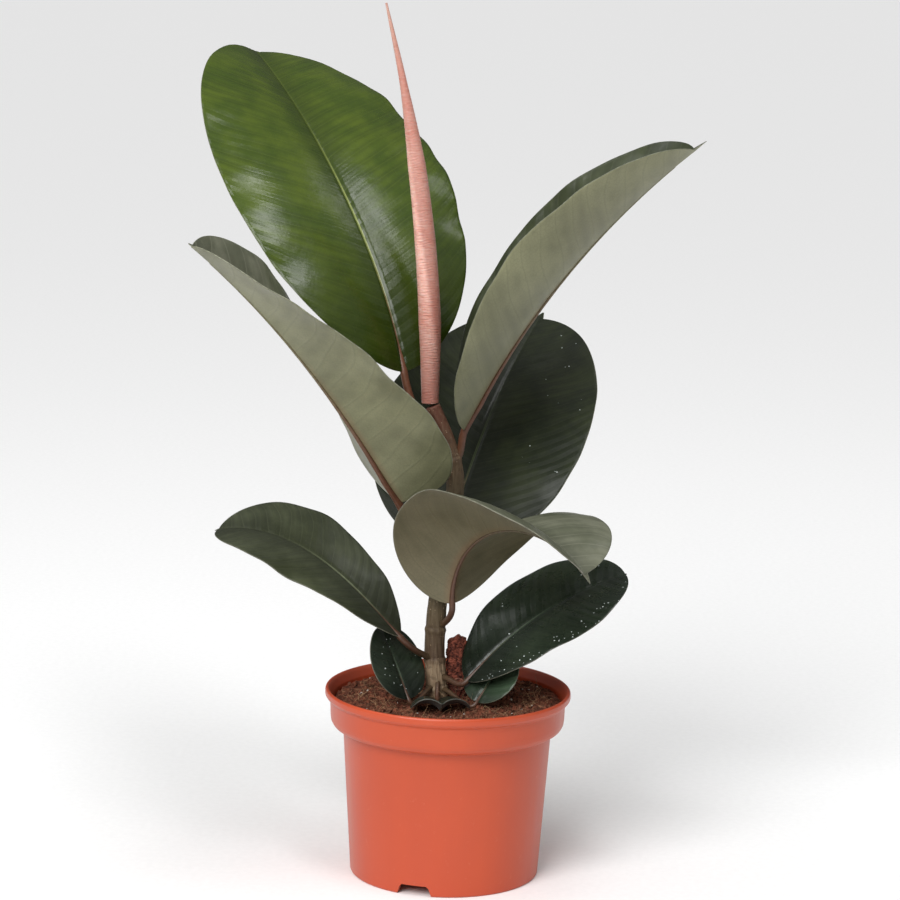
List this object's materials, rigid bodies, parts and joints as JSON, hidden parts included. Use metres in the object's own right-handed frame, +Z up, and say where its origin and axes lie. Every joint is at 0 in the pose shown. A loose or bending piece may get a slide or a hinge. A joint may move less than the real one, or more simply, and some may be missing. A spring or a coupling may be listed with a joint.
{
  "type": "potted rubber plant",
  "caption": "Upright rubber plant with broad glossy leaves and a pink shoot sheath, growing in a round tapered nursery pot with a collar and a notched foot.",
  "frame": {"origin": "middle of the pot's underside, on the surface it stands on", "axes": "+Z up along the pot's axis, -Y the side the plant is seen from, +X to that viewer's right"},
  "size_m": [0.2402, 0.2303, 0.4231],
  "materials": {
    "pot_plastic": "satin",
    "growing_medium": "matte",
    "bark": "matte",
    "sheath": "satin",
    "stump": "matte",
    "leaf_skin": "gloss"
  },
  "bodies": {
    "root": {"pot": "pot_plastic", "soil": "growing_medium", "stem": "bark", "apical_sheath": "sheath", "cutting_stub": "stump", "leaf_1": "leaf_skin", "leaf_2": "leaf_skin", "leaf_3": "leaf_skin", "leaf_4": "leaf_skin", "leaf_5": "leaf_skin", "leaf_6": "leaf_skin", "leaf_7": "leaf_skin", "leaf_8": "leaf_skin", "leaf_9": "leaf_skin", "leaf_10": "leaf_skin"}
  },
  "joints": []
}
